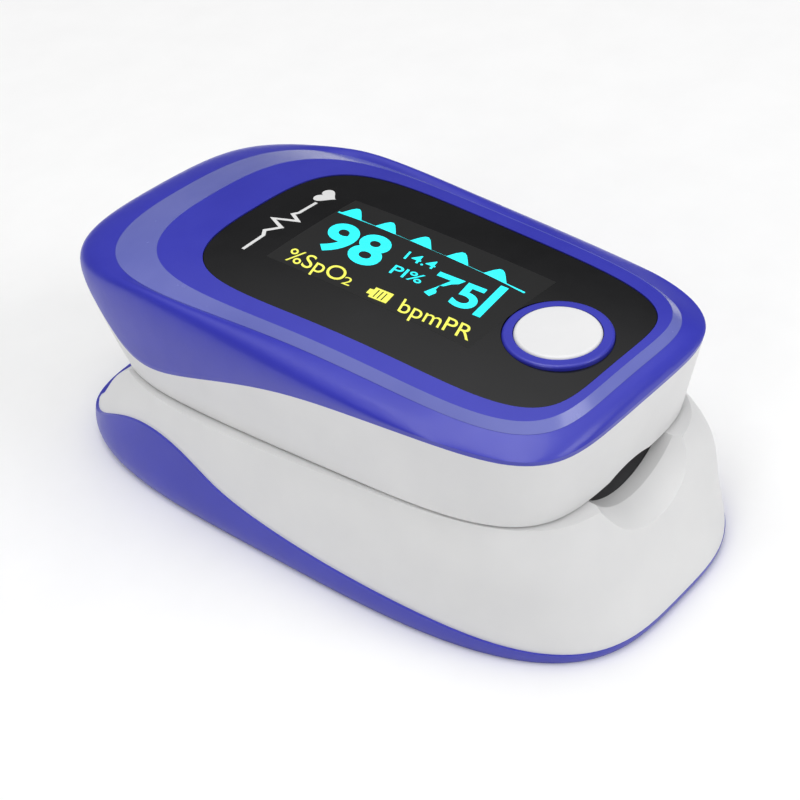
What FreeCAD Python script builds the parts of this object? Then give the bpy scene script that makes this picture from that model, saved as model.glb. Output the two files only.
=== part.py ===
import FreeCAD, Part
import math
import os

# Fingertip pulse oximeter.
# X is the width, the finger goes in from -Y, the hinge is near +Y, Z is up.
# The flat underside lies on z = 0. All lengths are in millimetres.

Vector = FreeCAD.Vector

# Outer form
TOP = 23.9                # crest of the display window
CREST_Y = -4.0            # where the crest lies along the length
ARC_LONG = 331.0          # radius of the top along the length
ARC_CROSS = 115.0         # radius of the top across the width
RING_POINTS = 48          # points on one plan outline
SIDE = 40.0               # half-width of every cutting slab
SEAM_GAP = 0.25           # gap between the two halves
EDGE_TUCK = 0.45          # the widest line lies this far above the cover's edge

# Hinge
HINGE_Y = 22.8
HINGE_Z = 11.2
PIN_RADIUS = 0.9
PIN_HALF = 12.6
PIN_CLEARANCE = 0.05
KNUCKLE_RADIUS = 2.1
KNUCKLE_GAP = 0.3
EAR_INNER = 8.2           # lower shell ears, from the middle
EAR_OUTER = 10.0
LUG_INNER = 10.2          # upper shell lugs, outside the ears
LUG_OUTER = 12.4
LUG_TOP = 14.2            # where the lugs meet the upper shell

# Display and boards
LENS_LOW = 21.75          # flat underside of the lens
LENS_SINK = 0.12
LENS_GAP = 0.06
LEDGE_THICK = 0.75
LEDGE_WIDE = 1.1
LEDGE_ROOT = 0.7          # how far the ledge runs into the cover
OLED_TOP = 21.65
OLED_THICK = 1.1
BOARD_TOP = 20.5
BOARD_THICK = 0.9
DISPLAY_FRONT = -13.9
DISPLAY_REAR = 10.1
DISPLAY_HALF = 6.1

# Power button
BUTTON_Y = -18.8
BUTTON_RADIUS = 3.75
BEZEL_RADIUS = 4.75
BUTTON_FIT = 0.07
BUTTON_PROUD = 0.25

# Battery cells, size AAA
CELL_RADIUS = 5.25
CELL_LENGTH = 44.5
CELL_X = 8.75
CELL_Z = 6.6
CELL_FRONT = -24.5
CELL_FIT = 0.15
CONTACT_LOW = 3.6         # contact plates, lower and upper edge
CONTACT_TOP = 8.6
CONTACT_DEPTH = 1.5       # room for the spring behind each cell

# Finger channel
LOWER_CHANNEL = 7.4       # radius of the lower trough
LOWER_CENTRE = 17.6       # height of its axis
LOWER_PAD = 0.6
UPPER_CHANNEL = 9.7
UPPER_CENTRE = 7.6
UPPER_PAD = 0.95
PAD_GAP = 0.05
CHANNEL_FRONT = -26.4
CHANNEL_BACK = 9.0
BLOCK_TOP = 12.65         # roof over the cells, inside the upper half
BLOCK_HALF = 13.1
BLOCK_REAR = 20.9
SENSOR_Y = -11.0

# Battery door
DOOR_HALF = 12.4
DOOR_FRONT = -26.0
DOOR_REAR = 20.6
DOOR_THICK = 1.0
DOOR_GAP = 0.1
DOOR_TRAVEL = 3.0

# Side-view curves, as (y, z)
SPLIT_CURVE = [(-34.0, 20.3), (-27.0, 20.6), (-19.0, 20.9), (-10.0, 20.3), (-1.0, 18.9),
               (7.0, 16.6), (13.0, 14.6), (18.0, 13.7), (21.5, 14.6), (24.5, 16.8),
               (28.5, 18.5), (36.0, 19.3)]
SEAM_CURVE = [(-34.0, 12.9), (-26.0, 12.8), (-18.0, 12.5), (-8.0, 11.9), (4.0, 10.9),
              (14.0, 10.4), (36.0, 10.4)]
NOTCH_CURVE = [(20.6, 8.0), (21.6, 10.5), (23.3, 13.4), (25.6, 16.4), (29.0, 18.0), (36.0, 18.8)]
SWOOSH_CURVE = [(-36.0, 1.0), (-27.0, 1.4), (-16.5, 2.4), (-6.0, 3.0), (2.0, 3.8), (7.7, 5.0),
                (12.5, 6.6), (16.5, 7.1), (20.0, 6.6), (23.6, 5.2), (27.0, 3.5), (31.0, 2.2),
                (37.0, 1.2)]
TAIL_CURVE = [(20.0, 10.8), (22.0, 10.3), (24.2, 8.8), (26.2, 6.6), (27.8, 4.4), (30.0, 2.6), (36.0, 1.2)]
UNDER_CURVE = [(22.0, -0.6), (27.6, -0.02), (30.4, 0.6), (33.0, 1.8), (37.0, 4.4)]


def crown(x, y):
    """Height of the crowned top above the table at a plan position."""
    return TOP - (y - CREST_Y) ** 2 / (2 * ARC_LONG) - x ** 2 / (2 * ARC_CROSS)


def plan(front, rear, half_front, half_rear, swell, square_front, square_rear):
    """Plan outline: a rounded rectangle that widens towards the rear."""
    middle = 0.5 * (front + rear)
    points = []
    for index in range(RING_POINTS):
        angle = 2 * math.pi * index / RING_POINTS
        cosine = math.cos(angle)
        sine = math.sin(angle)
        square = square_rear if sine > 0 else square_front
        reach = (abs(cosine) ** square + abs(sine) ** square) ** (-1 / square)
        y = middle + (rear - middle) * reach * sine
        along = max(0.0, (y - front) / (rear - front))
        half = half_front + (half_rear - half_front) * along ** swell
        points.append((half * reach * cosine, y))
    return points


def closed_wire(points):
    """Smooth closed wire through 3-D points, evenly spaced along its parameter."""
    curve = Part.BSplineCurve()
    steps = [float(index) for index in range(len(points) + 1)]
    curve.interpolate(Points=points, PeriodicFlag=True, Parameters=steps)
    return Part.Wire([curve.toShape()])


def flat_ring(z, outline):
    """Plan outline as a level wire."""
    return closed_wire([Vector(x, y, z) for x, y in outline])


def crowned_ring(outline, drop):
    """Plan outline laid below the crowned top by drop(y)."""
    return closed_wire([Vector(x, y, crown(x, y) - drop(y)) for x, y in outline])


def side_spline(points, x=0.0):
    """Smooth curve through (y, z) points of the side view."""
    curve = Part.BSplineCurve()
    curve.interpolate([Vector(x, y, z) for y, z in points])
    return curve


def height_at(curve, y):
    """Height of a side-view curve at a place along the length."""
    low = curve.FirstParameter
    high = curve.LastParameter
    for _ in range(40):
        middle = 0.5 * (low + high)
        if curve.value(middle).y < y:
            low = middle
        else:
            high = middle
    return curve.value(low).z


def side_slab(points, far_z):
    """Everything between a side-view curve and the level far_z, full width."""
    edges = [side_spline(points, -SIDE).toShape()]
    corners = [points[-1], (points[-1][0], far_z), (points[0][0], far_z), points[0]]
    for first, second in zip(corners, corners[1:]):
        edges.append(Part.makeLine(Vector(-SIDE, *first), Vector(-SIDE, *second)))
    return Part.Face(Part.Wire(edges)).extrude(Vector(2 * SIDE, 0, 0))


def raised(points, step):
    """Side-view points moved up by a step."""
    return [(y, z + step) for y, z in points]


def box(x0, x1, y0, y1, z0, z1):
    """Box between two corners."""
    return Part.makeBox(x1 - x0, y1 - y0, z1 - z0, Vector(x0, y0, z0))


def along_y(radius, y0, y1, x, z):
    """Cylinder lying along the length."""
    return Part.makeCylinder(radius, y1 - y0, Vector(x, y0, z), Vector(0, 1, 0))


def along_x(radius, x0, x1, y, z):
    """Cylinder lying across the width."""
    return Part.makeCylinder(radius, x1 - x0, Vector(x0, y, z), Vector(1, 0, 0))


def upright(radius, x, y, z0, z1):
    """Standing cylinder."""
    return Part.makeCylinder(radius, z1 - z0, Vector(x, y, z0))


def tidy(shape):
    """One clean shape with merged faces."""
    return shape.removeSplitter()


def prism(outline, low, high):
    """Standing block with a plan outline."""
    return Part.Face(flat_ring(low, outline)).extrude(Vector(0, 0, high - low))


def closed_solid(lofts, caps):
    """Solid bounded by open lofts and cap faces that share their edges."""
    faces = []
    for loft in lofts:
        faces += loft.Faces
    shell = Part.Shell(faces + caps)
    shell.sewShape()
    solid = Part.makeSolid(Part.Shell(shell.Faces))
    if solid.Volume < 0:
        solid.reverse()
    return solid


def window_outline(inset):
    """Outline of the display window, made smaller by inset."""
    return plan(-24.6 + inset, 17.4 - inset, 10.5 - inset, 12.9 - inset, 3, 4.9, 3.7)


def upper_form():
    """Outer skin of the upper half: skirt, soft shoulder, bright band and rim."""
    split = side_spline(SPLIT_CURVE)
    widest = plan(-27.6, 32.6, 15.1, 17.4, 1, 5.1, 3.9)
    bottom = flat_ring(7.0, plan(-25.5, 29.8, 14.2, 16.0, 1, 4.2, 3.6))
    rings = [
        closed_wire([Vector(x, y, height_at(split, y) + EDGE_TUCK) for x, y in widest]),
        crowned_ring(plan(-27.1, 31.8, 14.4, 17.1, 1, 5.0, 3.8), lambda y: 1.15),
        crowned_ring(plan(-26.1, 28.2, 13.1, 17.8, 3, 4.9, 3.2), lambda y: 0.75),
    ]
    shoulder = Part.makeLoft(rings, False, False)
    rim = crowned_ring(plan(-25.4, 23.4, 12.3, 15.6, 3, 4.9, 3.1), lambda y: 0.12)
    window = crowned_ring(window_outline(1.0), lambda y: 0)
    plateau = flat_ring(TOP + 0.3, window_outline(2.5))
    lofts = [shoulder]
    for first, second in ((bottom, rings[0]), (rings[-1], rim), (rim, window), (window, plateau)):
        lofts.append(Part.makeLoft([first, second], False, True))
    return closed_solid(lofts, [Part.Face(bottom), Part.Face(plateau)])


def upper_hollow():
    """Space inside the upper half."""
    rings = [
        flat_ring(12.0, plan(-24.8, 19.8, 13.2, 14.8, 1, 4.4, 3.6)),
        flat_ring(15.0, plan(-25.1, 21.6, 13.4, 15.2, 1, 4.4, 3.6)),
        flat_ring(19.2, plan(-25.4, 24.4, 13.6, 15.0, 1, 4.4, 3.6)),
        flat_ring(21.2, plan(-23.6, 21.0, 11.6, 13.4, 1, 4.2, 3.6)),
    ]
    return Part.makeLoft(rings, True, False)


def lower_form(grow):
    """Outer skin of the lower half, made larger all round by grow."""
    levels = [(0.0, -32.0, 32.2, 16.2, 20.0, 3.4), (1.2, -32.3, 32.8, 16.5, 20.5, 3.4),
              (4.0, -31.2, 32.2, 16.2, 20.0, 3.8), (8.0, -29.9, 30.0, 15.7, 18.5, 4.4),
              (12.0, -28.5, 27.6, 14.5, 17.2, 4.0), (16.0, -27.0, 25.6, 13.8, 16.6, 3.8)]
    rings = []
    for z, front, rear, half_front, half_rear, square in levels:
        outline = plan(front, rear + grow, half_front + grow, half_rear + grow, 1, square, 3.7)
        rings.append(flat_ring(z, outline))
    solid = Part.makeLoft(rings, True, False)
    return solid.cut(side_slab(UNDER_CURVE, -5.0))


def cell_centres():
    """Middle of each battery cell across the width."""
    return (-CELL_X, CELL_X)


# Upper half

def top_cover(form, hollow):
    """Coloured cover with the window opening and a flat ledge for the lens."""
    cover = form.common(side_slab(SPLIT_CURVE, 30.0)).cut(side_slab(NOTCH_CURVE, -10.0))
    cover = cover.cut(hollow).cut(prism(window_outline(0.0), 0.0, 30.0))
    ledge = prism(window_outline(-LEDGE_ROOT), LENS_LOW - LEDGE_THICK, LENS_LOW)
    ledge = ledge.cut(prism(window_outline(LEDGE_WIDE), 0.0, 30.0))
    return cover.fuse(ledge).cut(upright(BEZEL_RADIUS + LENS_GAP, 0, BUTTON_Y, 15.0, 30.0))


def crowned_slab():
    """Everything below the crowned surface of the lens."""
    ends = [Vector(0, y, crown(0, y) - LENS_SINK) for y in (-40.0, 40.0)]
    arc = Part.Arc(ends[0], Vector(0, CREST_Y, TOP - LENS_SINK), ends[1]).toShape()
    corners = [ends[1], Vector(0, 40.0, 0), Vector(0, -40.0, 0), ends[0]]
    edges = [arc]
    for first, second in zip(corners, corners[1:]):
        edges.append(Part.makeLine(first, second))
    face = Part.Face(Part.Wire(edges))
    axis = Vector(0, 0, TOP - LENS_SINK - ARC_CROSS)
    half_angle = math.degrees(math.asin(25.0 / ARC_CROSS))
    face.rotate(axis, Vector(0, 1, 0), -half_angle)
    return face.revolve(axis, Vector(0, 1, 0), 2 * half_angle)


def display_window():
    """Smoked lens with a crowned top, and the hole for the button bezel."""
    lens = prism(window_outline(LENS_GAP), LENS_LOW, 30.0).common(crowned_slab())
    return lens.cut(upright(BEZEL_RADIUS + LENS_GAP, 0, BUTTON_Y, 15.0, 30.0))


def button_bezel():
    """Ring round the power button, standing on the board."""
    crest = crown(0, BUTTON_Y) + 0.1
    ring = upright(BEZEL_RADIUS, 0, BUTTON_Y, BOARD_TOP, crest)
    ring = ring.makeFillet(0.25, [edge for edge in ring.Edges if edge.BoundBox.ZMin > crest - 0.01])
    return ring.cut(upright(BUTTON_RADIUS + BUTTON_FIT, 0, BUTTON_Y, BOARD_TOP - 1, 30.0))


def power_button():
    """Domed cap with a collar-free stem down to the switch."""
    top = crown(0, BUTTON_Y) + BUTTON_PROUD
    cap = upright(BUTTON_RADIUS, 0, BUTTON_Y, top - 1.5, top)
    cap = cap.makeFillet(0.3, [edge for edge in cap.Edges if edge.BoundBox.ZMin > top - 0.01])
    return cap.fuse(upright(1.3, 0, BUTTON_Y, BOARD_TOP + 1.25, top - 1.4))


def tact_switch():
    """Square switch body with its round plunger, under the button."""
    body = box(-2.4, 2.4, BUTTON_Y - 2.4, BUTTON_Y + 2.4, BOARD_TOP, BOARD_TOP + 0.6)
    return body.fuse(upright(1.0, 0, BUTTON_Y, BOARD_TOP + 0.55, BOARD_TOP + 0.85))


def main_board():
    """Circuit board under the display."""
    board = prism(plan(-23.0, 16.4, 10.4, 11.6, 1, 4.4, 4.0), BOARD_TOP - BOARD_THICK, BOARD_TOP)
    for x in (-8.6, 8.6):
        board = board.cut(upright(0.9, x, 12.0, 10.0, 30.0))
    return board


def oled_display():
    """Glass display panel: a bottom glass with a smaller cover glass on it."""
    low = OLED_TOP - OLED_THICK
    base = box(-DISPLAY_HALF - 2.2, DISPLAY_HALF + 0.9, DISPLAY_FRONT + 0.2, DISPLAY_REAR + 0.7,
               low, low + 0.7)
    cover = box(-DISPLAY_HALF - 0.5, DISPLAY_HALF + 0.5, DISPLAY_FRONT + 0.2, DISPLAY_REAR + 0.5,
                low + 0.7, OLED_TOP)
    return base.fuse(cover)


def processor():
    """Processor and its two neighbours under the board, as one group."""
    low = BOARD_TOP - BOARD_THICK - 0.7
    high = BOARD_TOP - BOARD_THICK
    chips = [box(-8.0, -3.0, 10.0, 15.0, low, high), box(3.0, 6.0, 12.4, 15.4, low, high),
             box(3.0, 5.2, 9.6, 11.4, low + 0.1, high)]
    return Part.makeCompound(chips)


def buzzer():
    """Round sounder under the board, behind the finger channel."""
    high = BOARD_TOP - BOARD_THICK
    return upright(2.6, 9.0, 12.2, high - 2.0, high).cut(upright(0.5, 9.0, 12.2, high - 2.1, high - 1.5))


def emitter():
    """Two-colour light emitter under the board, looking down the channel."""
    high = BOARD_TOP - BOARD_THICK
    body = box(-1.7, 1.7, SENSOR_Y - 1.6, SENSOR_Y + 1.6, 18.45, high)
    return body.cut(upright(1.2, 0, SENSOR_Y, 18.3, 18.75))


def emitter_window():
    """Clear window in the upper pad below the emitter."""
    z0 = UPPER_CENTRE + UPPER_CHANNEL - 0.05
    return box(-1.95, 1.95, SENSOR_Y - 1.95, SENSOR_Y + 1.95, z0, 18.4)


def channel_cutter(radius, centre, front, back):
    """Round channel along the length."""
    return along_y(radius, front, back, 0, centre)


def upper_shell(form, hollow):
    """Pale upper shell: skirt, plate, arched roof over the finger, hinge lugs."""
    body = form.cut(side_slab(SPLIT_CURVE, 30.0))
    body = body.common(side_slab(raised(SEAM_CURVE, SEAM_GAP), 30.0))
    body = body.cut(side_slab(NOTCH_CURVE, -10.0))
    arch = channel_cutter(UPPER_CHANNEL + UPPER_PAD + PAD_GAP + 1.0, UPPER_CENTRE, -30.0, CHANNEL_BACK + 1.4)
    plate = box(-SIDE, SIDE, -40, 40, 0, BLOCK_TOP + 1.35)
    rear_space = box(-11.0, 11.0, CHANNEL_BACK + 1.4, 18.4, BLOCK_TOP + 0.3, BLOCK_TOP + 2.0)
    body = body.cut(hollow.cut(arch).cut(plate)).cut(rear_space)
    body = body.cut(box(-BLOCK_HALF - 0.35, BLOCK_HALF + 0.35, -19.4, BLOCK_REAR + 3.0, 0, BLOCK_TOP + 0.35))
    seat = channel_cutter(UPPER_CHANNEL + UPPER_PAD + PAD_GAP, UPPER_CENTRE, CHANNEL_FRONT + 0.9, CHANNEL_BACK)
    mouth = channel_cutter(UPPER_CHANNEL - 1.6, UPPER_CENTRE - 2.1, -30.0, CHANNEL_FRONT + 1.0)
    body = body.cut(seat).cut(mouth)
    body = body.cut(box(-2.0, 2.0, SENSOR_Y - 2.0, SENSOR_Y + 2.0, 16.0, 19.8))
    knuckle = along_x(KNUCKLE_RADIUS + KNUCKLE_GAP, -LUG_INNER, LUG_INNER, HINGE_Y, HINGE_Z)
    body = body.cut(knuckle)
    body = body.fuse(hinge_lugs())
    return tidy(body.cut(along_x(PIN_RADIUS + PIN_CLEARANCE, -SIDE, SIDE, HINGE_Y, HINGE_Z)))


def hinge_lugs():
    """Pair of lugs that hang from the upper shell on the pin."""
    lugs = []
    for side in (-1, 1):
        x0 = min(side * LUG_INNER, side * LUG_OUTER)
        x1 = max(side * LUG_INNER, side * LUG_OUTER)
        eye = along_x(KNUCKLE_RADIUS, x0, x1, HINGE_Y, HINGE_Z)
        stem = Part.Face(Part.makePolygon([
            Vector(x0, BLOCK_REAR + 0.35, HINGE_Z),
            Vector(x0, HINGE_Y + KNUCKLE_RADIUS, HINGE_Z),
            Vector(x0, HINGE_Y + 1.2, LUG_TOP),
            Vector(x0, BLOCK_REAR + 0.35, LUG_TOP),
            Vector(x0, BLOCK_REAR + 0.35, HINGE_Z)])).extrude(Vector(x1 - x0, 0, 0))
        lugs.append(eye.fuse(stem))
    return lugs


def upper_pad():
    """Soft lining of the upper channel."""
    ring = channel_cutter(UPPER_CHANNEL + UPPER_PAD, UPPER_CENTRE, CHANNEL_FRONT + 1.0, CHANNEL_BACK - PAD_GAP)
    ring = ring.cut(channel_cutter(UPPER_CHANNEL, UPPER_CENTRE, -30.0, CHANNEL_BACK - 1.0))
    keep = box(-7.2, 7.2, -30.0, CHANNEL_BACK, BLOCK_TOP + 1.1, 30.0)
    pad = ring.common(keep)
    return pad.cut(box(-2.0, 2.0, SENSOR_Y - 2.0, SENSOR_Y + 2.0, 15.0, 20.0))


def screws(places, low, high):
    """Small pan-head screws, pointing up, as one group of separate solids."""
    group = []
    for x, y in places:
        screw = upright(1.1, x, y, low, low + 0.6).fuse(upright(0.55, x, y, low + 0.5, high))
        group.append(screw.cut(box(x - 0.8, x + 0.8, y - 0.15, y + 0.15, low - 1, low + 0.3)))
    return Part.makeCompound(group)


# Lower half

def lower_shell(form):
    """Pale lower shell: flared skirt, roof over the cells, trough and ears."""
    body = form.common(side_slab(SWOOSH_CURVE, 30.0))
    skirt = body.cut(side_slab(SEAM_CURVE, 30.0))
    block = box(-BLOCK_HALF, BLOCK_HALF, -19.0, BLOCK_REAR, 7.2, BLOCK_TOP)
    body = skirt.fuse(block).cut(side_slab(TAIL_CURVE, 30.0).common(box(-SIDE, SIDE, BLOCK_REAR, 60, 0, 30)))
    body = body.cut(battery_bay())
    body = body.cut(channel_cutter(LOWER_CHANNEL + LOWER_PAD + PAD_GAP, LOWER_CENTRE, CHANNEL_FRONT + 0.8,
                                   CHANNEL_BACK + 0.6))
    body = body.cut(channel_cutter(LOWER_CHANNEL, LOWER_CENTRE, -40.0, CHANNEL_FRONT + 1.0))
    flare = Part.makeCone(LOWER_CHANNEL + 3.2, LOWER_CHANNEL, 7.0, Vector(0, -34.0, LOWER_CENTRE), Vector(0, 1, 0))
    body = body.cut(flare)
    body = body.cut(box(-2.3, 2.3, SENSOR_Y - 2.3, SENSOR_Y + 2.3, 7.0, 11.0))
    body = body.cut(box(-2.2, 2.2, 12.4, 17.6, 7.0, 14.0))
    knuckles = along_x(KNUCKLE_RADIUS + KNUCKLE_GAP, -PIN_HALF - 1.2, PIN_HALF + 1.2, HINGE_Y, HINGE_Z)
    body = body.cut(knuckles).fuse(hinge_ears())
    return tidy(body.cut(along_x(PIN_RADIUS, -SIDE, SIDE, HINGE_Y, HINGE_Z)))


def hinge_ears():
    """Pair of ears that carry the pin."""
    ears = []
    for side in (-1, 1):
        x0 = min(side * EAR_INNER, side * EAR_OUTER)
        x1 = max(side * EAR_INNER, side * EAR_OUTER)
        eye = along_x(KNUCKLE_RADIUS, x0, x1, HINGE_Y, HINGE_Z)
        foot = box(x0, x1, HINGE_Y - KNUCKLE_RADIUS, HINGE_Y + KNUCKLE_RADIUS, CONTACT_TOP + 0.4, HINGE_Z)
        ears.append(eye.fuse(foot))
    return ears


def battery_bay():
    """Space for the two cells, their contacts and the wiring between them."""
    back = CELL_FRONT + CELL_LENGTH + 0.2
    front = CELL_FRONT + 0.8
    bay = box(-3.1, 3.1, -22.0, 18.6, 0.0, 8.3)
    for x in cell_centres():
        bay = bay.fuse(along_y(CELL_RADIUS + CELL_FIT, front, back, x, CELL_Z))
        bay = bay.fuse(box(x - 3.1, x + 3.1, CELL_FRONT - 0.55, front + 1, CONTACT_LOW - 0.1, CONTACT_TOP + 0.1))
        bay = bay.fuse(box(x - 3.1, x + 3.1, back - 1, back + CONTACT_DEPTH, CONTACT_LOW - 0.1, CONTACT_TOP + 0.1))
        inner = min(x, x + math.copysign(CELL_RADIUS + CELL_FIT, x))
        outer = max(x, x + math.copysign(CELL_RADIUS + CELL_FIT, x))
        bay = bay.fuse(box(inner, outer, front, back, 0.0, CELL_Z))
        bay = bay.fuse(box(min(0, x), max(0, x), front, back, 0.0, 3.0))
    return bay.fuse(box(-7.0, 7.0, -28.8, CELL_FRONT - 1.4, 0.0, 4.6))


def bottom_cover(form):
    """Coloured bottom cover: floor, thin front line and tall tail."""
    body = form.cut(side_slab(SWOOSH_CURVE, 30.0))
    body = body.cut(battery_bay().common(box(-SIDE, SIDE, -40, 40, DOOR_THICK + 0.7, 30)))
    slot = box(-DOOR_HALF - DOOR_GAP, DOOR_HALF + DOOR_GAP, DOOR_FRONT - DOOR_GAP,
               DOOR_REAR + DOOR_TRAVEL + DOOR_GAP, -1.0, DOOR_THICK + DOOR_GAP)
    hatch = box(-11.8, 11.8, DOOR_FRONT + 0.6, DOOR_REAR - 0.4, -1.0, 5.0)
    return tidy(body.cut(slot).cut(hatch))


def battery_door():
    """Sliding door in the underside, with three grip ribs cut in it."""
    door = box(-DOOR_HALF, DOOR_HALF, DOOR_FRONT, DOOR_REAR, 0.0, DOOR_THICK)
    door = door.makeFillet(1.0, [edge for edge in door.Edges if edge.Length < DOOR_THICK + 0.01])
    for step in range(5):
        y = DOOR_REAR - 8.0 + 1.3 * step
        door = door.cut(box(-4.5, 4.5, y, y + 0.6, -1.0, 0.3))
    return door


def battery_cell(x):
    """AAA cell with its raised contact at the front."""
    rear = CELL_FRONT + CELL_LENGTH
    return along_y(CELL_RADIUS, CELL_FRONT + 1.0, rear, x, CELL_Z).fuse(
        along_y(1.9, CELL_FRONT, CELL_FRONT + 1.1, x, CELL_Z))


def contact_plates():
    """Front and rear contact plates of both cells, as one group."""
    rear = CELL_FRONT + CELL_LENGTH + CONTACT_DEPTH - 0.15
    plates = []
    for x in cell_centres():
        plates.append(box(x - 3.0, x + 3.0, CELL_FRONT - 0.4, CELL_FRONT - 0.05, CONTACT_LOW, CONTACT_TOP))
        plates.append(box(x - 3.0, x + 3.0, rear, rear + 0.3, CONTACT_LOW, CONTACT_TOP))
    return Part.makeCompound(plates)


def helix_wire(radius, pitch, height, wire):
    """Round wire wound on a helix that stands on the origin along Z."""
    path = Part.makeHelix(pitch, height, radius)
    profile = Part.Wire([Part.makeCircle(wire, Vector(radius, 0, 0), Vector(0, 1, 0))])
    return Part.Wire(path.Edges).makePipeShell([profile], True, True)


def contact_springs():
    """Sprung strip behind each cell, arched from its rear contact plate."""
    foot = CELL_FRONT + CELL_LENGTH + CONTACT_DEPTH - 0.2
    crest = CELL_FRONT + CELL_LENGTH + 0.1
    strip = 0.18
    springs = []
    for x in cell_centres():
        arcs = []
        for step in (0.0, strip):
            ends = (Vector(x - 1.4, foot, CONTACT_LOW + 0.3 + step), Vector(x - 1.4, foot, CONTACT_TOP - 0.3 - step))
            middle = Vector(x - 1.4, crest + step, 0.5 * (CONTACT_LOW + CONTACT_TOP))
            arcs.append(Part.Arc(ends[0], middle, ends[1]).toShape())
        feet = [Part.makeLine(arcs[0].Vertexes[end].Point, arcs[1].Vertexes[end].Point) for end in (0, 1)]
        face = Part.Face(Part.Wire(Part.__sortEdges__(arcs + feet)))
        springs.append(face.extrude(Vector(2.8, 0, 0)))
    return Part.makeCompound(springs)


def sensor_board():
    """Small board under the trough."""
    return box(-2.9, 2.9, SENSOR_Y - 5.0, SENSOR_Y + 5.0, 6.6, 7.3)


def photodiode():
    """Light detector on the small board, looking up through the trough."""
    body = box(-1.8, 1.8, SENSOR_Y - 1.8, SENSOR_Y + 1.8, 7.3, 8.9)
    return body.cut(box(-1.3, 1.3, SENSOR_Y - 1.3, SENSOR_Y + 1.3, 8.7, 9.5))


def detector_window():
    """Clear window in the lower pad above the detector."""
    return box(-2.1, 2.1, SENSOR_Y - 2.1, SENSOR_Y + 2.1, 9.0, 10.0)


def lower_pad():
    """Soft lining of the lower trough with a finger stop at its end."""
    outer = channel_cutter(LOWER_CHANNEL + LOWER_PAD, LOWER_CENTRE, CHANNEL_FRONT + 0.9,
                           CHANNEL_BACK + 0.5)
    pad = outer.cut(channel_cutter(LOWER_CHANNEL, LOWER_CENTRE, -40.0, CHANNEL_BACK - 0.9))
    pad = pad.common(box(-SIDE, SIDE, -40, 40, 0, BLOCK_TOP - 0.05))
    return pad.cut(box(-2.15, 2.15, SENSOR_Y - 2.15, SENSOR_Y + 2.15, 7.0, 12.0))


def hinge_pin():
    """Steel pin across both halves."""
    return along_x(PIN_RADIUS, -PIN_HALF, PIN_HALF, HINGE_Y, HINGE_Z)


def torsion_spring(side):
    """Closing spring on the pin: a coil with a leg into each half."""
    wire = 0.25
    radius = PIN_RADIUS + 0.45
    coil = helix_wire(radius, 0.62, 2.48, wire)
    coil.rotate(Vector(0, 0, 0), Vector(0, 1, 0), 90)
    coil.translate(Vector(4.9, HINGE_Y, HINGE_Z))
    down = Part.makeCylinder(wire, 1.5, Vector(4.9, HINGE_Y, HINGE_Z - radius), Vector(0, -1, 0))
    up = Part.makeCylinder(wire, 2.7, Vector(7.38, HINGE_Y + radius, HINGE_Z), Vector(0, 0, 1))
    spring = coil.fuse([down, up])
    return spring if side > 0 else spring.mirror(Vector(0, 0, 0), Vector(1, 0, 0))


def flex_cable():
    """Flat flexible cable from the main board down to the small sensor board."""
    route = [(10.8, 19.3), (13.0, 18.8), (14.7, 17.0), (15.2, 13.5), (15.0, 10.6), (13.6, 8.2),
             (9.0, 7.55), (0.0, 7.5), (-5.5, 7.5)]
    thick = 0.12
    curve = side_spline(route, -1.5)
    count = 24
    sides = {-1: [], 1: []}
    for index in range(count + 1):
        share = curve.FirstParameter + (curve.LastParameter - curve.FirstParameter) * index / count
        point = curve.value(share)
        tangent = curve.tangent(share)[0]
        normal = Vector(0, -tangent.z, tangent.y)
        for side in sides:
            sides[side].append(point + normal * side * thick)
    edges = []
    for side in sides:
        edge = Part.BSplineCurve()
        edge.interpolate(sides[side])
        edges.append(edge.toShape())
    for end in (0, -1):
        edges.append(Part.makeLine(sides[-1][end], sides[1][end]))
    wire = Part.Wire(Part.__sortEdges__(edges))
    return Part.Face(wire).extrude(Vector(3.0, 0, 0))


def main():
    """Build every sub-part and write it as its own STEP file."""
    os.makedirs("parts", exist_ok=True)
    form = upper_form()
    hollow = upper_hollow()
    base = lower_form(0.0)
    parts = {
        "top_cover": top_cover(form, hollow),
        "display_window": display_window(),
        "button_bezel": button_bezel(),
        "power_button": power_button(),
        "tact_switch": tact_switch(),
        "main_board": main_board(),
        "oled_display": oled_display(),
        "processor": processor(),
        "buzzer": buzzer(),
        "emitter": emitter(),
        "emitter_window": emitter_window(),
        "upper_shell": upper_shell(form, hollow),
        "upper_pad": upper_pad(),
        "lower_shell": lower_shell(base),
        "bottom_cover": bottom_cover(lower_form(0.25)),
        "battery_door": battery_door(),
        "cell_left": battery_cell(-CELL_X),
        "cell_right": battery_cell(CELL_X),
        "contact_plates": contact_plates(),
        "contact_springs": contact_springs(),
        "sensor_board": sensor_board(),
        "photodiode": photodiode(),
        "detector_window": detector_window(),
        "lower_pad": lower_pad(),
        "hinge_pin": hinge_pin(),
        "spring_left": torsion_spring(-1),
        "spring_right": torsion_spring(1),
        "flex_cable": flex_cable(),
    }
    for name, shape in parts.items():
        shape.exportStep("parts/" + name + ".step")
        print(name, len(shape.Solids), round(shape.Volume, 1), shape.isValid(), shape.BoundBox)


main()
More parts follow.
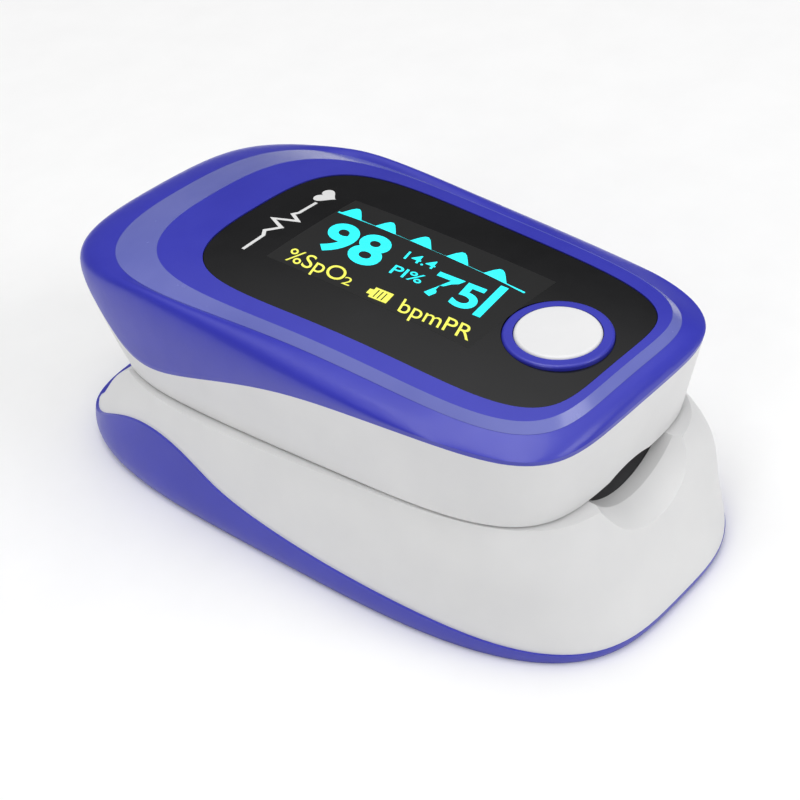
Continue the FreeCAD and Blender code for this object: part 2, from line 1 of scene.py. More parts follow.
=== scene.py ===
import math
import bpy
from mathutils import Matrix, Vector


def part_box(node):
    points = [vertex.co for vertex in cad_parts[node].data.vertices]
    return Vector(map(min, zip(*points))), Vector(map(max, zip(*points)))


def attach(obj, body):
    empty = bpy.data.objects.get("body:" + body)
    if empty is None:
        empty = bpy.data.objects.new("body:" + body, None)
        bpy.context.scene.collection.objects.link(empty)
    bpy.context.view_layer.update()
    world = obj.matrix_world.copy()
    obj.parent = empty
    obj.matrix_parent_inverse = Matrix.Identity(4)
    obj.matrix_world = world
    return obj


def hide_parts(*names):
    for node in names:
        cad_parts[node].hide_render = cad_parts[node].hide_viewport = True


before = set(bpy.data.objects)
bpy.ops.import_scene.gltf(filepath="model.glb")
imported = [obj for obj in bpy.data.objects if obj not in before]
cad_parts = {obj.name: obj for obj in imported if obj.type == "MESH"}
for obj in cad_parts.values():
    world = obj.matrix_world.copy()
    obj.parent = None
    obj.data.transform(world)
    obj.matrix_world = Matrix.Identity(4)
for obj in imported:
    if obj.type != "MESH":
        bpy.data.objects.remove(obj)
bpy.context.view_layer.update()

# %% [markdown]
# # A fingertip pulse oximeter
# This lesson dresses a small medical clip. The moulded case, the hinge, the boards and the battery
# cells arrive from a CAD program as finished solids, already loaded above. They are never moved, so
# our work is what CAD doesn't do well: finishes that look moulded, soft finger pads, the picture on
# the display, and the light. Every length in Blender is in metres, so `MM` turns millimetres into them.

MM = 0.001

# %% [markdown]
# ## Working in edit mode from a script
# An operator acts on everything that is selected, and the CAD parts are still selected after loading.
# So the first helper clears the selection, the second makes one object the active one, and the third
# picks faces by a rule about their middle and the way they look.

# %% Selection helpers
def nothing_selected():
    if bpy.context.object and bpy.context.object.mode != "OBJECT":
        bpy.ops.object.mode_set(mode="OBJECT")
    bpy.ops.object.select_all(action="DESELECT")


def only(piece):
    nothing_selected()
    piece.select_set(True)
    bpy.context.view_layer.objects.active = piece


def choose_faces(piece, rule):
    """Edit mode with just the faces for which rule(middle, normal) is true. Returns how many."""
    only(piece)
    bpy.ops.object.mode_set(mode="EDIT")
    bpy.ops.mesh.select_mode(type="FACE")
    bpy.ops.mesh.select_all(action="DESELECT")
    bpy.ops.object.mode_set(mode="OBJECT")
    for face in piece.data.polygons:
        face.select = bool(rule(face.center, face.normal))
    count = sum(face.select for face in piece.data.polygons)
    bpy.ops.object.mode_set(mode="EDIT")
    return count


def cut_plane(piece, point, normal, clear_outer=False):
    """Cuts the whole mesh along a plane, and may throw the side the normal points to away."""
    only(piece)
    bpy.ops.object.mode_set(mode="EDIT")
    bpy.ops.mesh.select_all(action="SELECT")
    bpy.ops.mesh.bisect(plane_co=point, plane_no=normal, clear_outer=clear_outer)
    bpy.ops.object.mode_set(mode="OBJECT")


def modify(piece, kind, **settings):
    """Adds one modifier, sets it up and applies it."""
    only(piece)
    modifier = piece.modifiers.new(kind.title(), kind)
    for name, value in settings.items():
        setattr(modifier, name, value)
    bpy.ops.object.modifier_apply(modifier=modifier.name)


def complete(piece, name, smooth_deg=35, mend=True):
    """Names a piece, puts its place into its mesh, closes its seams and turns its faces outwards."""
    only(piece)
    bpy.ops.object.transform_apply(location=True, rotation=True, scale=True)
    if mend:
        bpy.ops.object.mode_set(mode="EDIT")
        bpy.ops.mesh.select_all(action="SELECT")
        bpy.ops.mesh.remove_doubles(threshold=1e-6)
        bpy.ops.mesh.normals_make_consistent(inside=False)
        bpy.ops.object.mode_set(mode="OBJECT")
    bpy.ops.object.shade_smooth_by_angle(angle=math.radians(smooth_deg))
    piece.name = name
    piece.data.name = name
    print(f"{name}: {len(piece.data.polygons)} faces")
    return piece

# %% [markdown]
# ## A material for moulded plastic
# A real moulding is never one flat colour. Its pigment drifts a little across the part, the mould
# leaves a fine spark-eroded grain, and handling leaves faint smears that change the gloss but not the
# colour. All three are noise textures at different sizes, read from Object coordinates, so that they
# stay put on the part when it moves. What is the same everywhere goes straight on the shader's sockets.

# %% Moulded plastic
def shader_and_tree(name):
    material = bpy.data.materials.new(name)
    material.use_nodes = True
    tree = material.node_tree
    return material, tree, tree.nodes["Principled BSDF"]


def noise(tree, place, per_mm, detail=3.0, rough=0.55):
    node = tree.nodes.new("ShaderNodeTexNoise")
    node.inputs["Scale"].default_value = per_mm / MM
    node.inputs["Detail"].default_value = detail
    node.inputs["Roughness"].default_value = rough
    tree.links.new(place, node.inputs["Vector"])
    return node.outputs["Fac"]


def spread(tree, value, low, high, start=0.3, end=0.7):
    """Turns a noise value between start and end into low to high."""
    node = tree.nodes.new("ShaderNodeMapRange")
    node.inputs["From Min"].default_value = start
    node.inputs["From Max"].default_value = end
    node.inputs["To Min"].default_value = low
    node.inputs["To Max"].default_value = high
    tree.links.new(value, node.inputs["Value"])
    return node.outputs["Result"]


def two_tone(tree, share, dark, light):
    node = tree.nodes.new("ShaderNodeValToRGB")
    node.color_ramp.elements[0].color = (*dark, 1)
    node.color_ramp.elements[1].color = (*light, 1)
    tree.links.new(share, node.inputs["Fac"])
    return node.outputs["Color"]


def bumped(tree, height, strength, distance_mm, below=None):
    node = tree.nodes.new("ShaderNodeBump")
    node.inputs["Strength"].default_value = strength
    node.inputs["Distance"].default_value = distance_mm * MM
    tree.links.new(height, node.inputs["Height"])
    if below is not None:
        tree.links.new(below, node.inputs["Normal"])
    return node.outputs["Normal"]


def moulded(name, dark, light, gloss=(0.3, 0.42), grain_mm=0.12, grain_depth=0.006, coat=0.0, metal=0.0):
    """Plastic or painted finish: drifting pigment, smears in the gloss, and a fine grain."""
    material, tree, shader = shader_and_tree(name)
    place = tree.nodes.new("ShaderNodeTexCoord").outputs["Object"]
    drift = spread(tree, noise(tree, place, 0.12), 0.0, 1.0)
    tree.links.new(two_tone(tree, drift, dark, light), shader.inputs["Base Color"])
    smears = noise(tree, place, 0.35, 5.0, 0.65)
    tree.links.new(spread(tree, smears, gloss[0], gloss[1]), shader.inputs["Roughness"])
    wave = bumped(tree, noise(tree, place, 0.25, 1.0), 0.15, 0.05)
    fine = bumped(tree, noise(tree, place, 1.0 / grain_mm, 2.0), 0.6, grain_depth, wave)
    tree.links.new(fine, shader.inputs["Normal"])
    shader.inputs["Metallic"].default_value = metal
    shader.inputs["Coat Weight"].default_value = coat
    shader.inputs["Coat Roughness"].default_value = 0.12
    return material

# %% [markdown]
# ## The finishes of the case
# The case has three plastics: a deep blue with a satin shine, a white shell, and the black lens, which
# is the glossiest thing here. The blue is nearly saturated, so its red and green are only a few
# hundredths. The white is not pure: a value near 0.8 leaves room for highlights.

# %% Case materials
blue = moulded("case_blue", (0.030, 0.033, 0.43), (0.036, 0.040, 0.47), (0.30, 0.40), coat=0.15)
white = moulded("shell_white", (0.76, 0.76, 0.765), (0.80, 0.80, 0.80), (0.34, 0.46), grain_mm=0.16)
button_white = moulded("button_white", (0.80, 0.80, 0.81), (0.84, 0.84, 0.845), (0.28, 0.38), grain_mm=0.2)
lens_black = moulded("lens_black", (0.0035, 0.0035, 0.004), (0.006, 0.006, 0.007), (0.16, 0.22),
                     grain_mm=0.5, grain_depth=0.0008)
silicone = moulded("pad_silicone", (0.055, 0.055, 0.06), (0.085, 0.085, 0.09), (0.55, 0.72),
                   grain_mm=0.08, grain_depth=0.02)
board = moulded("board_green", (0.006, 0.05, 0.018), (0.012, 0.085, 0.03), (0.3, 0.45), grain_mm=0.3)
chip = moulded("chip_black", (0.012, 0.012, 0.013), (0.022, 0.022, 0.024), (0.4, 0.6),
               grain_mm=0.06, grain_depth=0.01)
oled = moulded("oled_glass", (0.008, 0.008, 0.01), (0.016, 0.016, 0.02), (0.08, 0.14),
               grain_mm=0.5, grain_depth=0.001)
cell = moulded("cell_wrap", (0.03, 0.03, 0.032), (0.05, 0.05, 0.055), (0.2, 0.3),
               grain_mm=0.4, grain_depth=0.002)
contact = moulded("contact_nickel", (0.55, 0.54, 0.5), (0.66, 0.65, 0.6), (0.18, 0.34), metal=1.0)
steel = moulded("spring_steel", (0.4, 0.4, 0.41), (0.52, 0.52, 0.53), (0.22, 0.4), metal=1.0)
film = moulded("flex_film", (0.35, 0.15, 0.02), (0.45, 0.2, 0.03), (0.3, 0.45))

# %% [markdown]
# The sensor windows are clear red filters over a lamp, so they pass light. Transmission is one number
# over the whole window and is set on the shader itself.

# %% Sensor window material
sensor_red = moulded("sensor_clear", (0.5, 0.08, 0.06), (0.62, 0.12, 0.09), (0.12, 0.25), grain_depth=0.002)
sensor_red.node_tree.nodes["Principled BSDF"].inputs["Transmission Weight"].default_value = 0.6

# %% Give each CAD part its finish
FINISHES = {
    blue: ["top_cover", "button_bezel", "bottom_cover", "battery_door"],
    white: ["upper_shell", "lower_shell"],
    button_white: ["power_button"],
    lens_black: ["display_window"],
    oled: ["oled_display"],
    silicone: ["upper_pad", "lower_pad"],
    board: ["main_board", "sensor_board"],
    chip: ["tact_switch", "processor", "buzzer", "emitter", "photodiode"],
    sensor_red: ["emitter_window", "detector_window"],
    cell: ["cell_left", "cell_right"],
    contact: ["contact_plates"],
    steel: ["contact_springs", "hinge_pin", "spring_left", "spring_right"],
    film: ["flex_cable"],
}
for material, nodes in FINISHES.items():
    for node in nodes:
        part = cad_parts[node]
        part.data.materials.clear()
        part.data.materials.append(material)
print("CAD parts with a finish:", sum(len(nodes) for nodes in FINISHES.values()), "of", len(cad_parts))

# %% [markdown]
# ## The picture on the display
# The display lies under a black lens with a very slight crown, and its lit shapes read along the case
# from the hinge towards the finger. They could be an image, but shapes cut as thin plates stay sharp at
# any distance. Each is laid out flat in display millimetres first: `u` runs along a line of text and
# `v` runs up. Then every point is carried to its place on the crowned lens. The crown is given by the
# two radii of the CAD part, so the plates can follow it without any fitting.

# %% From display millimetres to the lens
LENS_LONG, LENS_CROSS, LENS_CREST = 331.0, 115.0, -4.0
lens_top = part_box("display_window")[1].z / MM
DISPLAY_REAR, DISPLAY_SIDE = 10.05, -6.0
PROUD, PROUD_SLIT, PROUD_PANEL, PLATE_THICK = 0.012, 0.018, 0.004, 0.03


def lens_height(x, y):
    return lens_top - (y - LENS_CREST) ** 2 / (2 * LENS_LONG) - x ** 2 / (2 * LENS_CROSS)


def lay_on_lens(piece, place, proud=PROUD):
    """Moves each point of a flat piece to place(its x, its y) in plan, just proud of the lens."""
    for point in piece.data.vertices:
        x, y = place(point.co.x, point.co.y)
        point.co = Vector((x, y, lens_height(x, y) + proud)) * MM


def on_display(u, v):
    return DISPLAY_SIDE + v, DISPLAY_REAR - u


def plate(piece, name, material):
    """Turns a flat face into a thin closed plate let into the lens, with its finish."""
    modify(piece, "TRIANGULATE")
    modify(piece, "SOLIDIFY", thickness=PLATE_THICK * MM, offset=-1)
    complete(piece, name, 20)
    piece.data.materials.clear()
    piece.data.materials.append(material)
    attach(piece, "upper_jaw")

print("lens crest in mm:", round(lens_top, 2))

# %% [markdown]
# ## Light that comes from the shapes
# A display makes its own light, so these finishes glow a little. Organic pixels aren't quite even, so a
# fine noise shifts the colour between two close tones. The glow has one strength everywhere, which
# is set on the shader, and the noise drives only its colour.

# %% Glowing and printed finishes
def lit(name, dark, light, strength):
    material = moulded(name, dark, light, (0.25, 0.35), grain_mm=0.1, grain_depth=0.001)
    tree = material.node_tree
    shader = tree.nodes["Principled BSDF"]
    place = tree.nodes.new("ShaderNodeTexCoord").outputs["Object"]
    pixels = spread(tree, noise(tree, place, 6.0, 1.0), 0.0, 1.0)
    tree.links.new(two_tone(tree, pixels, dark, light), shader.inputs["Emission Color"])
    shader.inputs["Emission Strength"].default_value = strength
    return material


cyan = lit("lit_cyan", (0.01, 0.62, 0.68), (0.03, 0.78, 0.84), 0.8)
yellow = lit("lit_yellow", (0.55, 0.56, 0.06), (0.70, 0.70, 0.11), 0.75)
panel_black = moulded("panel_black", (0.0012, 0.0012, 0.0014), (0.0022, 0.0022, 0.0026), (0.5, 0.6),
                      grain_mm=0.2, grain_depth=0.001)
print_white = moulded("print_white", (0.72, 0.72, 0.72), (0.80, 0.80, 0.80), (0.4, 0.5), grain_mm=0.1)

# %% [markdown]
# ## Numbers and units
# Numbers and the names of units are generic, so they may be written. Blender makes lettering with a
# text object. It has an outline only, so it is turned into a mesh, and measured against a plain "8",
# whose height is the height of a capital. Three corners say where it goes: where the line starts, where
# it ends, and how far up a capital reaches. That lets the letters lean as they do on the display.

# %% Lettering
def text_mesh(words, weight):
    nothing_selected()
    bpy.ops.object.text_add()
    piece = bpy.context.object
    piece.data.body = words
    piece.data.offset = weight
    piece.data.resolution_u = 6
    piece.data.fill_mode = "FRONT"
    bpy.ops.object.convert(target="MESH")
    return bpy.context.object


sample = text_mesh("8", 0.0)
CAPITAL = max(point.co.y for point in sample.data.vertices)
bpy.data.objects.remove(sample)


def lettering(words, name, start, end, top, material, weight=0.0):
    """Writes words from start to end, with capitals up to top, all as (u, v) on the display."""
    piece = text_mesh(words, weight)
    lows = min(point.co.x for point in piece.data.vertices)
    wide = max(point.co.x for point in piece.data.vertices) - lows
    line = Vector(end) - Vector(start)
    lean = Vector(top) - Vector(start)

    def place(x, y):
        spot = Vector(start) + line * ((x - lows) / wide) + lean * (y / CAPITAL)
        return on_display(*spot)

    lay_on_lens(piece, place)
    return plate(piece, name, material)


lettering("98", "oxygen_number", (2.45, 3.70), (9.85, 3.95), (1.35, 8.05), cyan, 0.028)
lettering("75", "pulse_number", (15.75, 3.65), (21.05, 3.98), (15.1, 6.95), cyan, 0.02)
lettering("14.4", "index_number", (10.95, 6.70), (14.35, 6.85), (10.65, 7.90), cyan, 0.005)
lettering("PI%", "index_unit", (11.40, 4.22), (14.85, 4.42), (11.15, 5.50), cyan, 0.005)
lettering("%SpO", "oxygen_unit", (1.80, 0.50), (8.85, 0.66), (1.20, 2.35), yellow, 0.0)
lettering("2", "oxygen_unit_two", (8.95, 0.55), (9.85, 0.60), (8.65, 1.60), yellow, 0.0)
lettering("bpmPR", "pulse_unit", (15.85, 0.32), (23.45, 0.72), (15.25, 2.05), yellow, 0.0)

# %% [markdown]
# ## The pulse wave, the level bar and the battery sign
# These are simple flat outlines. A plane is the start, its corners are thrown away, and new
# corners are filled with one face. For the wave, one pulse is drawn once and repeated five times
# along its line, as the heart repeats it: a quick rise, a round top and a slow fall.

# %% Flat outlines
def outline_face(corners):
    """One flat face through the corners, made in edit mode from a plane."""
    nothing_selected()
    bpy.ops.mesh.primitive_plane_add(size=1)
    piece = bpy.context.object
    bpy.ops.object.mode_set(mode="EDIT")
    bpy.ops.mesh.delete(type="ONLY_FACE")
    bpy.ops.mesh.select_all(action="SELECT")
    bpy.ops.mesh.delete(type="VERT")
    bpy.ops.object.mode_set(mode="OBJECT")
    count = len(corners)
    piece.data.from_pydata([(x, y, 0) for x, y in corners], [(i, (i + 1) % count) for i in range(count)], [])
    bpy.ops.object.mode_set(mode="EDIT")
    bpy.ops.mesh.select_all(action="SELECT")
    bpy.ops.mesh.edge_face_add()
    bpy.ops.object.mode_set(mode="OBJECT")
    return piece


def drawn(corners, name, material, place=on_display):
    piece = outline_face(corners)
    lay_on_lens(piece, place)
    return plate(piece, name, material)


WAVE_START, WAVE_END, WAVE_LOW, WAVE_FALL = 0.25, 23.0, 9.55, 0.45
PULSES, PULSE_PITCH, LINE_WIDE = 5, 4.42, 0.2
PULSE = [(0.35, 0.0), (0.75, 0.95), (1.05, 1.38), (1.4, 1.45), (1.8, 1.2), (2.3, 0.7), (2.95, 0.0)]


def wave_base(u):
    return WAVE_LOW - WAVE_FALL * u / WAVE_END


wave = [(WAVE_START, wave_base(WAVE_START))]
for number in range(PULSES):
    for along, up in PULSE:
        u = WAVE_START + number * PULSE_PITCH + along
        wave.append((u, wave_base(u) + up))
wave.append((WAVE_END, wave_base(WAVE_END)))
wave.append((WAVE_END, wave_base(WAVE_END) - LINE_WIDE))
wave.append((WAVE_START, wave_base(WAVE_START) - LINE_WIDE))
drawn(wave, "pulse_wave", cyan)
drawn([(21.45, 3.7), (22.25, 3.75), (21.55, 8.6), (20.75, 8.55)], "level_bar", cyan)

# %% Battery sign
CELL_LOW, CELL_HIGH, CELL_NUB = 0.42, 1.82, 0.42
battery = [(12.35, CELL_LOW), (14.35, CELL_LOW + 0.12), (14.1, CELL_HIGH + 0.1), (12.1, CELL_HIGH)]
nub = [(12.27, 0.78), (12.18, 1.44), (12.18 - CELL_NUB, 1.38), (12.27 - CELL_NUB, 0.74)]
drawn(battery, "battery_sign", yellow)
drawn(nub, "battery_sign_nub", yellow)
BARS, BAR_WIDE, BAR_STEP = 3, 0.12, 0.46
for bar in range(BARS):
    u = 12.72 + BAR_STEP * bar
    slit = outline_face([(u, 0.6), (u + BAR_WIDE, 0.6), (u + BAR_WIDE - 0.16, 1.66), (u - 0.16, 1.66)])
    lay_on_lens(slit, on_display, PROUD_SLIT)
    plate(slit, f"battery_sign_slit_{bar + 1}", panel_black)

# %% [markdown]
# ## The dark panel and the maker's mark
# The display panel is the deepest black on the object: unlike the lens around it, it shows no sheen.
# It is a thin sheet, subdivided so that it can bend with the crown. Behind it, at the hinge end, the
# case has a printed mark. Ours is a heart at the end of a pulse trace, which stands for no maker.

# %% Panel
nothing_selected()
bpy.ops.mesh.primitive_plane_add(size=1)
panel = bpy.context.object
bpy.ops.object.mode_set(mode="EDIT")
bpy.ops.mesh.subdivide(number_cuts=15)
bpy.ops.object.mode_set(mode="OBJECT")
PANEL_LONG, PANEL_HIGH = 24.1, 12.1
lay_on_lens(panel, lambda x, y: on_display((x + 0.5) * PANEL_LONG, (y + 0.5) * PANEL_HIGH), PROUD_PANEL)
plate(panel, "display_panel", panel_black)

# %% Heart and pulse trace
MARK_Y, TRACE_WIDE = 12.9, 0.38
TRACE = [(-6.3, 0.0), (-3.6, 0.0), (-2.9, 0.55), (-2.3, 0.0), (-1.7, -0.5), (-0.9, 1.45), (0.0, -1.05),
         (0.7, 0.35), (1.2, 0.0), (3.6, 0.0)]


def ribbon(line, wide):
    """Corners of a band of even width along a broken line."""
    upper, lower = [], []
    for index, point in enumerate(line):
        before = Vector(line[max(index - 1, 0)])
        after = Vector(line[min(index + 1, len(line) - 1)])
        first = (Vector(point) - before).normalized() if index else (after - Vector(point)).normalized()
        second = (after - Vector(point)).normalized() if index < len(line) - 1 else first
        middle = (first + second).normalized()
        side = Vector((-middle.y, middle.x)) * (0.5 * wide / max(0.45, middle.dot(first)))
        upper.append(tuple(Vector(point) + side))
        lower.append(tuple(Vector(point) - side))
    return upper + lower[::-1]


def at_mark(x, y):
    return x, MARK_Y + y


drawn(ribbon(TRACE, TRACE_WIDE), "mark_trace", print_white, at_mark)
HEART_X, HEART_SIZE, HEART_POINTS = 5.1, 0.078, 36
heart = []
for index in range(HEART_POINTS):
    turn_by = 2 * math.pi * index / HEART_POINTS
    bulge = 13 * math.cos(turn_by) - 5 * math.cos(2 * turn_by)
    bulge -= 2 * math.cos(3 * turn_by) + math.cos(4 * turn_by)
    heart.append((HEART_X + HEART_SIZE * 16 * math.sin(turn_by) ** 3, HEART_SIZE * bulge + 0.15))
drawn(heart, "mark_heart", print_white, at_mark)

# %% [markdown]
# ## The chamfer and its painted highlight
# A glossy chamfer runs round the window, narrow at the sides and broad towards the hinge, and it
# catches more light than the satin cover. That light is painted: a thin band laid just over the cover
# carries a lighter blue as a painted highlight. It lies between two outlines that the CAD part also uses: a
# superellipse, which is a rounded rectangle given by one power, and which widens towards the hinge.
# So a ring of points is extruded once, and its two loops are laid on the two outlines.

# %% Chamfer band between two outlines
TOP = 23.9
CHAMFER_POINTS, CHAMFER_LIFT = 288, 0.035
CHAMFER_INNER = dict(front=-25.4, rear=23.4, half_front=12.3, half_rear=15.6,
                     power_front=4.9, power_rear=3.1, sunk=0.12)
CHAMFER_OUTER = dict(front=-26.1, rear=28.2, half_front=13.1, half_rear=17.8,
                     power_front=4.9, power_rear=3.2, sunk=0.75)


def outline_point(share, front, rear, half_front, half_rear, power_front, power_rear, sunk):
    """A point of the outline, in mm, at a share of a full turn."""
    cosine, sine = math.cos(2 * math.pi * share), math.sin(2 * math.pi * share)
    power = power_rear if sine > 0 else power_front
    reach = (abs(cosine) ** power + abs(sine) ** power) ** (-1 / power)
    y = 0.5 * (front + rear) + 0.5 * (rear - front) * reach * sine
    half = half_front + (half_rear - half_front) * max(0.0, (y - front) / (rear - front)) ** 3
    x = half * reach * cosine
    z = TOP - (y - LENS_CREST) ** 2 / (2 * LENS_LONG) - x ** 2 / (2 * LENS_CROSS) - sunk
    return Vector((x, y, z))


nothing_selected()
bpy.ops.mesh.primitive_circle_add(vertices=CHAMFER_POINTS, radius=10 * MM, fill_type="NOTHING")
chamfer = bpy.context.object
bpy.ops.object.mode_set(mode="EDIT")
bpy.ops.mesh.select_all(action="SELECT")
bpy.ops.mesh.extrude_edges_move(TRANSFORM_OT_translate={"value": (0, 0, 1 * MM)})
bpy.ops.object.mode_set(mode="OBJECT")
for number, point in enumerate(chamfer.data.vertices):
    outline = CHAMFER_INNER if number < CHAMFER_POINTS else CHAMFER_OUTER
    spot = outline_point((number % CHAMFER_POINTS) / CHAMFER_POINTS, **outline)
    point.co = (spot + Vector((0, 0, CHAMFER_LIFT))) * MM
only(chamfer)
bpy.ops.object.mode_set(mode="EDIT")
bpy.ops.mesh.select_all(action="SELECT")
bpy.ops.mesh.normals_make_consistent(inside=False)
bpy.ops.object.mode_set(mode="OBJECT")
if chamfer.data.polygons[0].normal.z < 0:
    chamfer.data.flip_normals()
modify(chamfer, "SOLIDIFY", thickness=0.1 * MM, offset=-1)
complete(chamfer, "chamfer_highlight_band", 30)
# The band's lighter blue is a painted highlight; its low roughness and coat are the chamfer's own gloss.
glossy_blue_painted_highlight = moulded("glossy_blue_painted_highlight", (0.13, 0.15, 0.50), (0.16, 0.18, 0.54), (0.2, 0.28), coat=0.3)
chamfer.data.materials.append(glossy_blue_painted_highlight)
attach(chamfer, "upper_jaw")
print("chamfer band in mm:", [round(c / MM, 1) for c in chamfer.dimensions])

# %% [markdown]
# ## Soft finger pads
# Two silicone pads line the channel, one on each jaw. A closed clip hides its pads, so their detail
# is our own: each is a thin skin shaped as part of a tube, with low ribs across it and a window for
# the sensor. A tube is the start. It is bisected lengthwise to keep one side, cut across where the
# ribs and the window begin and end, given its thickness, and then the rib faces are extruded.

# %% Pad builder
PAD_POINTS, RIB_PITCH, RIB_WIDE, RIB_HIGH = 160, 2.6, 0.9, 0.1
SENSOR_Y, WINDOW_HALF = -11.0, 2.15
CLEAR, SIDE_CLEAR, RIB_MARGIN = 0.05, 0.04, 0.6
LOWER_AXIS, LOWER_RADIUS, LOWER_THICK = 17.6, 7.97, 0.44
UPPER_AXIS, UPPER_RADIUS, UPPER_THICK = 7.6, 10.60, 0.78


def ribs_between(low_y, high_y):
    """Start and end of each rib, leaving the sensor window clear."""
    starts = [low_y + 1.6 + RIB_PITCH * k for k in range(int((high_y - low_y - 2.4) / RIB_PITCH))]
    clear = [y for y in starts if not SENSOR_Y - 3.4 < y < SENSOR_Y + 2.6]
    return [(y, y + RIB_WIDE) for y in clear]


def channel_pad(name, node, radius, axis_z, up, thick):
    """A ribbed pad on a tube of this radius. up is 1 for the pad above its axis and -1 below."""
    low, high = (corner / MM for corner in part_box(node))
    low_y, high_y = low.y + CLEAR, high.y - CLEAR
    brim = high.z - CLEAR if up < 0 else low.z + CLEAR
    side = min(high.x, -low.x) - SIDE_CLEAR
    nothing_selected()
    bpy.ops.mesh.primitive_cylinder_add(vertices=PAD_POINTS, radius=radius * MM, depth=(high_y - low_y) * MM,
                                        end_fill_type="NOTHING", rotation=(math.pi / 2, 0, 0),
                                        location=(0, 0.5 * (low_y + high_y) * MM, axis_z * MM))
    pad = bpy.context.object
    bpy.ops.object.transform_apply(location=True, rotation=True, scale=True)
    cut_plane(pad, (0, 0, brim * MM), (0, 0, -up), clear_outer=True)
    for sign in (-1, 1):
        cut_plane(pad, (sign * side * MM, 0, 0), (sign, 0, 0), clear_outer=True)
        cut_plane(pad, (sign * WINDOW_HALF * MM, 0, 0), (sign, 0, 0))
        cut_plane(pad, (0, (SENSOR_Y + sign * WINDOW_HALF) * MM, 0), (0, 1, 0))
    ribs = ribs_between(low_y, high_y)
    for edge in [y for rib in ribs for y in rib]:
        cut_plane(pad, (0, edge * MM, 0), (0, 1, 0))
    half = WINDOW_HALF * MM
    choose_faces(pad, lambda c, n: abs(c.x) < half and abs(c.y - SENSOR_Y * MM) < half)
    bpy.ops.mesh.delete(type="FACE")
    bpy.ops.object.mode_set(mode="OBJECT")
    modify(pad, "SOLIDIFY", thickness=thick * MM, offset=-1)
    axis = Vector((0, 0, axis_z * MM))

    def on_rib(centre, normal):
        inward = (axis - Vector((centre.x, 0, centre.z))).normalized()
        inside = any(y0 * MM < centre.y < y1 * MM for y0, y1 in ribs)
        return inside and normal.dot(inward) > 0.9 and abs(centre.x) < (side - RIB_MARGIN) * MM

    count = choose_faces(pad, on_rib)
    bpy.ops.mesh.extrude_region_shrink_fatten(TRANSFORM_OT_shrink_fatten={"value": RIB_HIGH * MM})
    bpy.ops.object.mode_set(mode="OBJECT")
    modify(pad, "BEVEL", width=0.07 * MM, segments=2, limit_method="ANGLE", angle_limit=math.radians(40))
    complete(pad, name, 35)
    pad.data.materials.append(silicone)
    print(name, "has", len(ribs), "ribs on", count, "faces")
    return pad

# %% [markdown]
# The lower pad hangs below its axis, like a gutter, and the upper pad arches above its own. Both are
# kept a few hundredths of a millimetre inside the space that the CAD solids hold, to stay clear of
# the shells. They are solid rubber and can't go slack, so they are declared as nearly full.

# %% Make the two pads
lower_pad = channel_pad("lower_finger_pad", "lower_pad", LOWER_RADIUS, LOWER_AXIS, -1, LOWER_THICK)
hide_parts("lower_pad")
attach(lower_pad, "lower_half")
upper_pad = channel_pad("upper_finger_pad", "upper_pad", UPPER_RADIUS, UPPER_AXIS, 1, UPPER_THICK)
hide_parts("upper_pad")
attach(upper_pad, "upper_jaw")

# %% [markdown]
# The upper pad ends in a soft wall that stops the fingertip. It is a short disc on the same tube,
# bisected at the pad's brim, with rounded edges and a low raised panel that follows its outline.

# %% Fingertip stop
low, high = (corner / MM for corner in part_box("upper_pad"))
STOP_THICK, STOP_PANEL, STOP_MARGIN, STOP_INSET = 0.8, 0.12, 0.9, 0.1
STOP_RADIUS, STOP_POINTS = 9.62, 96
stop_y = high.y - STOP_INSET - 0.5 * STOP_THICK
nothing_selected()
bpy.ops.mesh.primitive_cylinder_add(vertices=STOP_POINTS, radius=STOP_RADIUS * MM, depth=STOP_THICK * MM,
                                    rotation=(math.pi / 2, 0, 0),
                                    location=(0, stop_y * MM, UPPER_AXIS * MM))
stop = bpy.context.object
bpy.ops.object.transform_apply(location=True, rotation=True, scale=True)
cut_plane(stop, (0, 0, (low.z + CLEAR) * MM), (0, 0, -1), clear_outer=True)
only(stop)
bpy.ops.object.mode_set(mode="EDIT")
bpy.ops.mesh.select_mode(type="EDGE")
bpy.ops.mesh.select_all(action="DESELECT")
bpy.ops.mesh.select_non_manifold()
bpy.ops.mesh.edge_face_add()
bpy.ops.object.mode_set(mode="OBJECT")
choose_faces(stop, lambda c, n: n.y < -0.9)
bpy.ops.mesh.inset(thickness=STOP_MARGIN * MM)
bpy.ops.mesh.extrude_region_shrink_fatten(TRANSFORM_OT_shrink_fatten={"value": STOP_PANEL * MM})
bpy.ops.object.mode_set(mode="OBJECT")
modify(stop, "BEVEL", width=0.1 * MM, segments=3, limit_method="ANGLE", angle_limit=math.radians(40))
complete(stop, "fingertip_stop", 35)
stop.data.materials.append(silicone)
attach(stop, "upper_jaw")

# %% [markdown]
# ## The camera
# The object is seen from its front left, from well above, with a rather long lens. The camera rolls a
# few degrees, as a hand-held one does. Its three axes are built from the angles: `back` points from
# the object to the camera, and the other two are turned by the roll.

# %% Camera
AZIMUTH, ELEVATION, ROLL = (math.radians(a) for a in (-45.57, 38.38, -4.61))
AIM = Vector((-14.96, -14.40, 23.86)) * MM
DISTANCE = 119.17 * MM
SENSOR_WIDE, FOCAL_LENGTH, CLIP_FAR = 36, 67.5, 20
back = Vector((math.sin(AZIMUTH) * math.cos(ELEVATION), -math.cos(AZIMUTH) * math.cos(ELEVATION),
               math.sin(ELEVATION)))
level = Vector((math.cos(AZIMUTH), math.sin(AZIMUTH), 0))
turn = Matrix.Rotation(ROLL, 3, back)
across = turn @ level
above = turn @ back.cross(level)
nothing_selected()
bpy.ops.object.camera_add(location=AIM + back * DISTANCE)
camera = bpy.context.object
axes = Matrix((across, above, back)).transposed()
camera.matrix_world = Matrix.Translation(AIM + back * DISTANCE) @ axes.to_4x4()
camera.data.sensor_width = SENSOR_WIDE
camera.data.lens = FOCAL_LENGTH
camera.data.clip_start = 5 * MM
camera.data.clip_end = CLIP_FAR
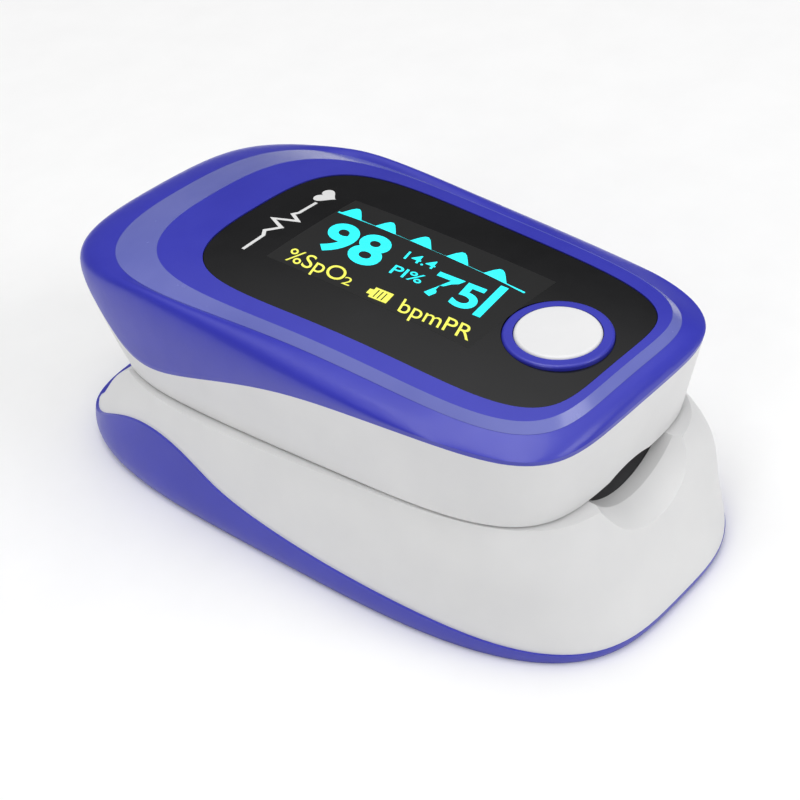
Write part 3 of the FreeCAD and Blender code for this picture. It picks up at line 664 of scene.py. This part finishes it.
bpy.context.scene.camera = camera

# %% [markdown]
# ## Floor and light
# A white sweep under a white sky gives the bright, almost shadowless look of a catalogue picture. One
# large lamp overhead shapes the top, and a second from the front right lifts the nose of the case.
# The sky is dimmer low down, since that is the part that the black lens mirrors.

# %% Floor, sky and lamps
bpy.ops.mesh.primitive_grid_add(x_subdivisions=4, y_subdivisions=4, size=6, location=(0, 0, -0.02 * MM))
floor = complete(bpy.context.object, "studio_floor", mend=False)
floor.data.materials.append(moulded("studio_paper", (0.93, 0.93, 0.93), (0.95, 0.95, 0.95), (0.85, 0.95)))

world = bpy.data.worlds.new("studio_sky")
bpy.context.scene.world = world
world.use_nodes = True
sky = world.node_tree.nodes
sky_links = world.node_tree.links
height = sky.new("ShaderNodeSeparateXYZ")
sky_links.new(sky.new("ShaderNodeTexCoord").outputs["Generated"], height.inputs["Vector"])
SKY_LOW, SKY_HIGH, SKY_FROM, SKY_TO = 0.10, 0.92, 0.50, 0.80
gradient = sky.new("ShaderNodeMapRange")
gradient.inputs["From Min"].default_value = SKY_FROM
gradient.inputs["From Max"].default_value = SKY_TO
gradient.inputs["To Min"].default_value = SKY_LOW
gradient.inputs["To Max"].default_value = SKY_HIGH
sky_links.new(height.outputs["Z"], gradient.inputs["Value"])
sky_links.new(gradient.outputs["Result"], sky["Background"].inputs["Strength"])
sky["Background"].inputs["Color"].default_value = (1, 1, 1, 1)


def lamp(name, direction, distance, size, watts):
    """A square soft lamp that looks at the object."""
    bpy.ops.object.light_add(type="AREA", location=Vector(direction).normalized() * distance)
    light = bpy.context.object
    light.name = name
    light.data.size = size
    light.data.energy = watts
    light.rotation_euler = Vector(direction).to_track_quat("Z", "Y").to_euler()


lamp("overhead_lamp", (-0.1, 0.1, 1.0), 0.7, 0.45, 1.6)
lamp("front_lamp", (0.35, -1.0, 0.7), 0.7, 0.35, 1.3)
lamp("side_lamp", (-1.0, -0.2, 0.6), 0.8, 0.3, 0.9)
bpy.context.scene.view_settings.view_transform = "Standard"
